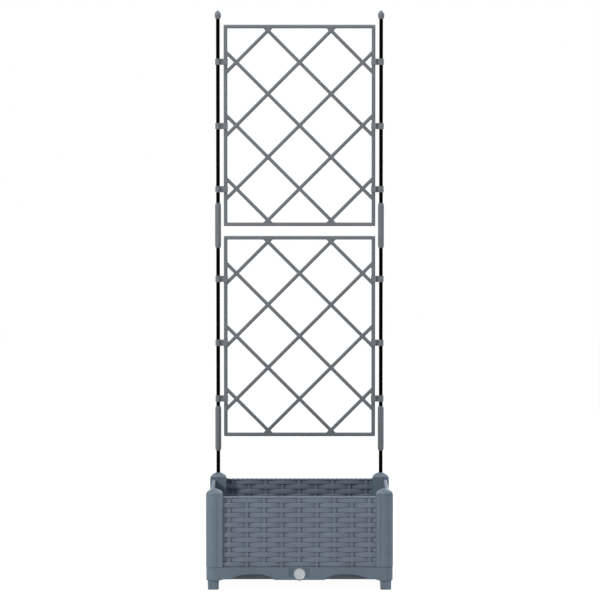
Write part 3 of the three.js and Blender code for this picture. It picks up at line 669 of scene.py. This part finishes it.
# short tabs close the slots' open tops above the walls
tab_width, tab_length = (slot_near + fit_gap, slot_far - fit_gap), (slot_end + fit_gap, cap_half - 0.2)
tab_outlines = [rectangle(*tab_length, *tab_width), rectangle(*tab_width, *tab_length)]

for name, place in corner_turns.items():
    cap_low, cap_high = (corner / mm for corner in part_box(f"{name}_cap"))
    post_low, post_high = (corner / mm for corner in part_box(f"{name}_post"))
    brim_foot = post_high.z + fit_gap
    points, faces = cap_surface(brim_foot, cap_high.z, pierced=name.startswith("rear"))
    cap = mesh_piece(f"{name}_post_cap", at_corner(points, *place), faces)
    plug_steps = soft_edges(cap_low.z, brim_foot + plug_sink, 0.4, turns=2)
    tab_steps = [(0, wall_high.z + fit_gap), (0, brim_foot + plug_sink)]
    plugs = []
    for outline, steps in ((inner_pocket(fit_gap), plug_steps), (outer_pocket(fit_gap), plug_steps),
                           (tab_outlines[0], tab_steps), (tab_outlines[1], tab_steps)):
        points, faces = plate(outline, [], steps)
        plugs.append(mesh_piece("plug", at_corner(points, *place), faces))
    combine("UNION", cap, *plugs)
    dress(cap, box_plastic, "box_plastic", "planter", f"{name}_cap", crease=50)

# ================================================================ Woven walls
# Four plastic panels moulded to look like basketwork on both faces. Flat bands run along them, over one
# upright stake and under the next, and the row below does the opposite. A beaded rim closes the top.

row_pitch = 10.6
stake_pitch = 37.5
rows = 14
crest_depth = 4.8  # all depths are from the wall's middle plane
dip_depth = 1.2
bow_power = 1.5  # 1 is straight flanks to a sharp crest, 2 an even bow
stake_depth = 3.4
stake_half = 3.2
gap_depth = 1.2  # beside a stake, where the band turns in behind it
gap_width = 1.0
weave_plastic = moulded_plastic("woven_plastic", (0.147, 0.179, 0.222), grain=0.6, roughness=0.5)


def band_depth(x, row):
    """How far a row's band stands out at x. The top row, row 0, passes over the odd stakes."""
    phase = (x / stake_pitch - (row + 1)) % 2
    distance = min(phase, 2 - phase) * stake_pitch
    share = min(1, distance / (stake_pitch - stake_half - gap_width))
    return crest_depth + (dip_depth - crest_depth) * share ** bow_power


def weave_depth(x, row, edge_drop):
    """The depth at x in a row, edge_drop below the band's middle, or the stake's where it shows."""
    stake = round(x / stake_pitch)
    from_stake = abs(x - stake * stake_pitch)
    passes_over = (stake - row - 1) % 2 == 0
    if not passes_over and from_stake < stake_half + gap_width:
        if from_stake <= stake_half - 0.45:
            return stake_depth - 0.35 * (from_stake / stake_half) ** 2
        if from_stake <= stake_half:
            return stake_depth - 0.9
        return gap_depth
    return band_depth(x, row) - edge_drop


# across a row, from its lower edge up: heights from its middle, and how far the band's face has dropped
# there. Its lower edge is thick and turned under, and its upper edge is drawn in behind the band above.
row_profile = [(-5.1, 0.8), (-4.85, 0.24), (-4.3, 0.04), (-3, 0), (-1, 0.02), (1.4, 0.08), (3.4, 0.2),
               (4.6, 0.36), (5.1, 0.6)]
stake_columns = [0, 1.6, 2.75, 3.2, 3.35, 4.05, 4.35, 6, 9, 10, 14, 18.75]  # from a stake's middle
rim_height = 5.2
rim_profile = [(3.1, 0.05), (3.5, 0.12), (3.6, 0.3), (3.6, 0.5), (3.3, 0.68), (2.5, 0.8), (1.2, 0.86)]
bead_dip = 1.2  # between two beads of the rim
rim_bead_pitch = row_pitch
rim_samples = 6  # to a bead


def columns_to(half):
    """Where the face is sampled along the wall: close together at the stakes' edges."""
    places = {-half, half}
    for stake in range(-5, 6):
        for offset in stake_columns:
            for x in (stake * stake_pitch - offset, stake * stake_pitch + offset):
                if abs(x) < half - 0.3:
                    places.add(round(x, 4))
    return sorted(places)


def face_lines(half, height):
    """Lines of (x, depth, z) up one face of a wall, from its foot to its top edge."""
    columns = columns_to(half)
    lines = [[(x, 2.0, 0.0) for x in columns]]
    for number in range(rows - 1, -1, -1):
        middle = (rows - number - 0.5) * row_pitch
        for offset, drop in row_profile:
            if middle + offset < height - rim_height:
                lines.append([(x, weave_depth(x, number, drop), middle + offset) for x in columns])
        if number:
            above = middle + row_pitch / 2
            depths = [min(weave_depth(x, number, 0.6), weave_depth(x, number - 1, 0.8)) for x in columns]
            lines.append([(x, depth - 0.3, above) for x, depth in zip(columns, depths)])
    weave_top = height - rim_height
    lines.append([(x, min(weave_depth(x, 0, 0.85), 2.6) - 0.3, weave_top) for x in columns])
    count = int(2 * half / rim_bead_pitch * rim_samples)
    fine = [half * (2 * i / count - 1) for i in range(count + 1)]
    for depth, share in rim_profile:
        level, dip = weave_top + rim_height * share, bead_dip * share ** 3
        lines.append([(x, depth, level - dip * math.sin(math.pi * x / rim_bead_pitch) ** 2) for x in fine])
    return lines


def strip(faces, below, above, xs, flip):
    """Faces between two lines of point numbers that both run along x, even where one has more points."""
    if len(below) == len(above):
        quads = [(below[i], below[i + 1], above[i + 1], above[i]) for i in range(len(below) - 1)]
        faces += [quad[::-1] for quad in quads] if flip else quads
        return
    i = j = 0
    while i < len(below) - 1 or j < len(above) - 1:
        step_below = j == len(above) - 1 or (i < len(below) - 1 and xs[below[i + 1]] <= xs[above[j + 1]])
        corners = (below[i], below[i + 1], above[j]) if step_below else (below[i], above[j + 1], above[j])
        faces.append(corners[::-1] if flip else corners)
        if step_below:
            i += 1
        else:
            j += 1


def woven_wall(half, height):
    """Points and faces of a wall about its middle plane, its outer face towards -Y, standing on z = 0."""
    points, faces = [], []
    front, back = [], []
    lines = face_lines(half, height)
    for way, numbers in ((-1, front), (1, back)):
        for line in lines:
            numbers.append(list(range(len(points), len(points) + len(line))))
            points += [(x, way * depth, z) for x, depth, z in line]
    xs = [point[0] for point in points]
    for k in range(len(lines) - 1):
        strip(faces, front[k], front[k + 1], xs, False)
        strip(faces, back[k], back[k + 1], xs, True)
    strip(faces, back[0], front[0], xs, False)
    strip(faces, front[-1], back[-1], xs, False)
    for k in range(len(lines) - 1):
        faces.append((front[k][0], front[k + 1][0], back[k + 1][0], back[k][0]))
        faces.append((front[k + 1][-1], front[k][-1], back[k][-1], back[k + 1][-1]))
    return points, faces


wall_height = wall_high.z - wall_low.z
wall_points, wall_faces = woven_wall(reach - fit_gap, wall_height)
tongue_half, tongue_start, tongue_end = 2, reach - 1.5, reach + 10
tongue_points, tongue_faces = plate(rectangle(tongue_start, tongue_end, -tongue_half, tongue_half), [],
                                    soft_edges(1, wall_height, 0.3, turns=2))
for name, turn in (("front", 0), ("right", math.pi / 2), ("rear", math.pi), ("left", -math.pi / 2)):
    low, high = (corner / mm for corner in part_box(f"{name}_panel"))
    middle = (low + high) / 2
    place = (middle.x, middle.y, low.z)
    wall = mesh_piece(f"{name}_woven_wall", turned_about(wall_points, turn, *place), wall_faces)
    tongues = [mesh_piece("tongue", turned_about(tongue_points, turn + end, *place), tongue_faces)
               for end in (0, math.pi)]
    combine("UNION", wall, *tongues)
    dress(wall, weave_plastic, "box_plastic", "planter", f"{name}_panel", crease=55)

# ================================================================ Badge
# A bare round disc in silver-coloured plastic with a low raised rim, pressed into the recess of the front
# skirt by a stud behind it.


def lathe(profile, facets):
    """Points and faces turned about the upright axis from (radius, height) points up the outside."""
    points, faces = [], []
    angles = [2 * math.pi * i / facets for i in range(facets)]
    for radius, z in profile:
        points += [(radius * math.cos(angle), radius * math.sin(angle), z) for angle in angles]
    for level in range(len(profile) - 1):
        for i in range(facets):
            a, b = level * facets + i, level * facets + (i + 1) % facets
            faces.append((a, b, b + facets, a + facets))
    return points, faces


def closed_lathe(profile, facets):
    """A turned solid whose profile ends near the axis at both ends, where a flat face closes it."""
    points, faces = lathe(profile, facets)
    faces.append(tuple(reversed(range(facets))))
    top = (len(profile) - 1) * facets
    faces.append(tuple(range(top, top + facets)))
    return points, faces


silver = bpy.data.materials.new("silver_lacquer")
silver.use_nodes = True
nodes, links = silver.node_tree.nodes, silver.node_tree.links
surface = nodes["Principled BSDF"]
surface.inputs["Metallic"].default_value = 0.35
surface.inputs["Specular IOR Level"].default_value = 0.6
place = nodes.new("ShaderNodeTexCoord").outputs["Object"]
flakes = nodes.new("ShaderNodeTexNoise")
flakes.inputs["Scale"].default_value = 2600
flakes.inputs["Detail"].default_value = 1
links.new(place, flakes.inputs["Vector"])
lacquer = nodes.new("ShaderNodeValToRGB")
lacquer.color_ramp.elements[0].position = 0.35
lacquer.color_ramp.elements[0].color = (0.41, 0.43, 0.46, 1)
lacquer.color_ramp.elements[1].position = 0.65
lacquer.color_ramp.elements[1].color = (0.53, 0.55, 0.58, 1)
links.new(flakes.outputs["Fac"], lacquer.inputs["Fac"])
links.new(lacquer.outputs["Color"], surface.inputs["Base Color"])
gloss = nodes.new("ShaderNodeMapRange")
gloss.inputs["To Min"].default_value = 0.3
gloss.inputs["To Max"].default_value = 0.42
links.new(flakes.outputs["Fac"], gloss.inputs["Value"])
links.new(gloss.outputs["Result"], surface.inputs["Roughness"])

# levels along the badge's axis, from the skirt's face outwards
disc_front = skirt_face - badge_low.y
disc_back, stud_back = -1.2, -6.2
points, faces = closed_lathe([
    (0.05, stud_back), (1.9, stud_back), (2.2, stud_back + 0.3), (2.2, disc_back), (11.75, disc_back),
    (12, disc_back + 0.25), (12, disc_front - 0.3), (11.9, disc_front - 0.1), (11.65, disc_front),
    (11.05, disc_front), (10.75, disc_front - 0.12), (10.4, disc_front - 0.45), (9.9, disc_front - 0.52),
    (0.05, disc_front - 0.52)], 64)
badge = mesh_piece("badge_disc", facing_front(points), faces)
dress(badge, silver, "badge_silver", "planter", "badge")

# ================================================================ Poles
# Thin-walled steel tubes with a black plastic coat, three to a pole. The coat is smooth, with the slight
# orange peel that a powder coat has.

coat = bpy.data.materials.new("black_coat")
coat.use_nodes = True
nodes, links = coat.node_tree.nodes, coat.node_tree.links
surface = nodes["Principled BSDF"]
surface.inputs["Specular IOR Level"].default_value = 0.01
place = nodes.new("ShaderNodeTexCoord").outputs["Object"]
peel = nodes.new("ShaderNodeTexNoise")
peel.inputs["Scale"].default_value = 520
peel.inputs["Detail"].default_value = 2
links.new(place, peel.inputs["Vector"])
blacks = nodes.new("ShaderNodeValToRGB")
blacks.color_ramp.elements[0].position = 0.3
blacks.color_ramp.elements[0].color = (0.0007, 0.0007, 0.0008, 1)
blacks.color_ramp.elements[1].position = 0.7
blacks.color_ramp.elements[1].color = (0.0014, 0.0014, 0.0016, 1)
links.new(peel.outputs["Fac"], blacks.inputs["Fac"])
links.new(blacks.outputs["Color"], surface.inputs["Base Color"])
gloss = nodes.new("ShaderNodeMapRange")
gloss.inputs["To Min"].default_value = 0.42
gloss.inputs["To Max"].default_value = 0.58
links.new(peel.outputs["Fac"], gloss.inputs["Value"])
links.new(gloss.outputs["Result"], surface.inputs["Roughness"])
skin = nodes.new("ShaderNodeBump")
skin.inputs["Strength"].default_value = 0.2
skin.inputs["Distance"].default_value = 0.1 * mm
links.new(peel.outputs["Fac"], skin.inputs["Height"])
links.new(skin.outputs[0], surface.inputs["Normal"])

tube_radius = 4.2
tube_wall = 1.0
for side in ("left", "right"):
    for length in ("lower", "middle", "upper"):
        low, high = (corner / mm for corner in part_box(f"{side}_{length}_tube"))
        middle = (low + high) / 2
        bore = circle(tube_radius - tube_wall, 40, clockwise=True)
        points, faces = plate(circle(tube_radius, 40), [bore], soft_edges(low.z, high.z, 0.25, turns=2))
        tube = mesh_piece(f"{side}_{length}_pole", turned_about(points, 0, middle.x, middle.y), faces)
        dress(tube, coat, "coated_steel", "planter", f"{side}_{length}_tube")

# ================================================================ Sleeves
# Grey plastic couplings that join the tubes end to end. They narrow at both ends, and a stop inside keeps
# the tubes apart.

trellis_grey = (0.145, 0.157, 0.174)
trellis_plastic = moulded_plastic("grey_plastic", trellis_grey, grain=0.4, roughness=0.42)
sleeve_radius = 6.7
sleeve_facets = 48
stop_radius, stop_half = 3.2, 1.5

for side in ("left", "right"):
    for level in ("lower", "upper"):
        low, high = (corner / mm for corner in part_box(f"{side}_{level}_sleeve"))
        middle = (low + high) / 2
        half = (high.z - low.z) / 2
        outside = [(5.0, -half), (5.4, -half + 0.12), (5.62, -half + 0.5), (6.0, -half + 1.8),
                   (6.4, -half + 3.6), (6.62, -half + 5.2), (sleeve_radius, -half + 7)]
        inside = [(bore_radius + 0.12, half), (bore_radius, half - 0.15), (bore_radius, stop_half),
                  (stop_radius, stop_half)]
        profile = outside + [(radius, -z) for radius, z in reversed(outside)]
        profile += inside + [(radius, -z) for radius, z in reversed(inside)]
        points, faces = lathe(profile, sleeve_facets)
        last = (len(profile) - 1) * sleeve_facets
        for i in range(sleeve_facets):
            on = (i + 1) % sleeve_facets
            faces.append((last + i, last + on, on, i))
        points = turned_about(points, 0, middle.x, middle.y, middle.z)
        sleeve = mesh_piece(f"{side}_{level}_coupling", points, faces)
        dress(sleeve, trellis_plastic, "trellis_plastic", "planter", f"{side}_{level}_sleeve")

# ================================================================ Finials
# Bud-shaped tips of the sleeves' plastic, pushed over the poles' upper ends. They swell from a narrow lip
# and close to a point.

finial_lip = 5.0
bud_handle = 8.52  # the radius at both middle handles of the bud's curve
handle_rises = (0.35, 0.75)  # their heights, as shares of the finial's
bud_steps = 24
socket_top = 7

for side in ("left", "right"):
    low, high = (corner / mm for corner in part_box(f"{side}_finial"))
    middle = (low + high) / 2
    tall = high.z - low.z
    widest = (high.x - low.x) / 2
    profile = [(0.05, socket_top), (bore_radius, socket_top), (bore_radius, 0.15), (bore_radius + 0.12, 0),
               (finial_lip - 0.15, 0), (finial_lip, 0.15)]
    for k in range(1, bud_steps):
        t = k / bud_steps
        first, second = 3 * (1 - t) ** 2 * t, 3 * (1 - t) * t ** 2
        across = (1 - t) ** 3 * finial_lip + (first + second) * bud_handle
        up = (first * handle_rises[0] + second * handle_rises[1] + t ** 3) * tall
        profile.append((min(across, widest), up))
    profile.append((0.05, tall))
    points, faces = closed_lathe(profile, 48)
    finial = mesh_piece(f"{side}_bud", turned_about(points, 0, middle.x, middle.y, low.z), faces)
    dress(finial, trellis_plastic, "trellis_plastic", "planter", f"{side}_finial", crease=60)

# ================================================================ Lattice panels
# Each panel is one flat moulding in the grey plastic, a thin frame filled with crossing slats at 45
# degrees. Bars and slats have sloping flanks and softened edges, so that their middles catch the light.

bar_width = 8.2
slat_width = 7.6
diamond_step = 99.6 / math.sqrt(2)
smallest_cell = 8  # side of a square as large as the smallest opening that is cut
crossing_round = 1.3  # fillet in the corners of the openings
panel_round = 2.6  # of the frame's outer corners, wider than its flanks slope


def clipped(ring, along, limit):
    """What is left of a ring of points on the side of a line where along(point) is at most limit."""
    left = []
    for i, here in enumerate(ring):
        on = ring[(i + 1) % len(ring)]
        a, b = along(here) - limit, along(on) - limit
        if a <= 0:
            left.append(here)
        if a * b < 0:
            left.append(here.lerp(on, a / (a - b)))
    return left


def ring_area(ring):
    return sum(ring[i - 1].cross(here) for i, here in enumerate(ring)) / 2


def lattice_openings(inner_x, inner_y):
    """The openings between slats, cut off by the frame's inner edges."""
    arm = diamond_step - slat_width / math.sqrt(2)
    openings = []
    columns, levels = (math.ceil(inner / diamond_step) for inner in (inner_x, inner_y))
    for i in range(-columns, columns + 1):
        for j in range(-levels, levels + 1):
            if (i + j) % 2 == 0:
                continue
            x, y = i * diamond_step, j * diamond_step
            ring = [Vector((x + arm, y)), Vector((x, y + arm)), Vector((x - arm, y)), Vector((x, y - arm))]
            for along, limit in ((lambda p: p.x, inner_x), (lambda p: -p.x, inner_x),
                                 (lambda p: p.y, inner_y), (lambda p: -p.y, inner_y)):
                ring = clipped(ring, along, limit)
            if len(ring) > 2 and ring_area(ring) > smallest_cell ** 2:
                openings.append(rounded_outline([(p.x, p.y, crossing_round) for p in ring])[::-1])
    return openings


# how far the face is narrower than the middle, from the rear face to the front face
flank = [(2.15, -4), (1.85, -3.94), (1.62, -3.75), (1.35, -3.4), (0.18, -2.1), (0.04, -1.75), (0, -1.4)]
flank += [(inset, -depth) for inset, depth in reversed(flank)]
for level in ("upper", "lower"):
    low, high = (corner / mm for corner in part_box(f"{level}_lattice"))
    middle = (low + high) / 2
    half_x, half_z = (high.x - low.x) / 2, (high.z - low.z) / 2
    outline = rectangle(-half_x, half_x, -half_z, half_z, panel_round)
    points, faces = plate(outline, lattice_openings(half_x - bar_width, half_z - bar_width), flank)
    stood_up = [(px, middle.y - pz, middle.z + py) for px, py, pz in points]
    lattice = mesh_piece(f"{level}_trellis_panel", stood_up, faces)
    dress(lattice, trellis_plastic, "trellis_plastic", f"{level}_trellis", f"{level}_lattice")

# ================================================================ Clips
# Snap clips in the same plastic. A springy ring that is open to the rear grips the pole, and a jaw past a
# short web takes the frame's upright bar. Six hold each panel.

ring_wall = 1.6
mouth_half = math.radians(50)
web_half = 2.5
pole_to_bar = 12.8
gap_to_bar = pole_to_bar - fit_gap
jaw_wall = 1.8
jaw_tip = pole_to_bar + bar_width + 1
jaw_inside = 4.3
jaw_outside = jaw_inside + jaw_wall


def clip_outline():
    """The clip seen from above, with the pole on the axis and the bar towards +X."""
    inner, outer = bore_radius, bore_radius + ring_wall
    web_angle = math.asin(web_half / outer)
    mouth_left, mouth_right = math.pi / 2 + mouth_half, math.pi / 2 - mouth_half
    jaw_back = gap_to_bar - jaw_wall

    def arc(radius, start, end, steps):
        angles = [start + (end - start) * k / steps for k in range(steps + 1)]
        return [Vector((radius * math.cos(angle), radius * math.sin(angle))) for angle in angles]

    outline = arc(outer, mouth_left, 2 * math.pi - web_angle, 20)
    lower_jaw = [(jaw_back, -web_half, 0.4), (jaw_back, -jaw_outside, 1.2), (jaw_tip, -jaw_outside, 0.6),
                 (jaw_tip, -jaw_inside, 0.4), (gap_to_bar, -jaw_inside, 0.3)]
    upper_jaw = [(x, -y, radius) for x, y, radius in reversed(lower_jaw)]
    web_foot = outline[-1]
    ends = [(web_foot.x, web_foot.y, 0), *lower_jaw, *upper_jaw, (web_foot.x, -web_foot.y, 0)]
    outline += rounded_outline(ends)[1:-1]
    outline += arc(outer, web_angle, mouth_right, 3)
    outline += arc(inner, mouth_right, mouth_left - 2 * math.pi, 24)
    return outline


for level in ("upper", "lower"):
    for side, pole_x in (("left", -post_axis), ("right", post_axis)):
        for height in ("bottom", "middle", "top"):
            node = f"{level}_{side}_{height}_clip"
            low, high = (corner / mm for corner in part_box(node))
            points, faces = plate(clip_outline(), [], soft_edges(low.z, high.z, 0.45, turns=3))
            if side == "right":  # the left one turned over, so that its jaw points the other way
                points = [(-px, py, low.z + high.z - pz) for px, py, pz in points]
            points = turned_about(points, 0, pole_x, post_axis)
            clip = mesh_piece(f"{level}_{side}_{height}_snap", points, faces)
            dress(clip, trellis_plastic, "trellis_plastic", f"{level}_trellis", node)
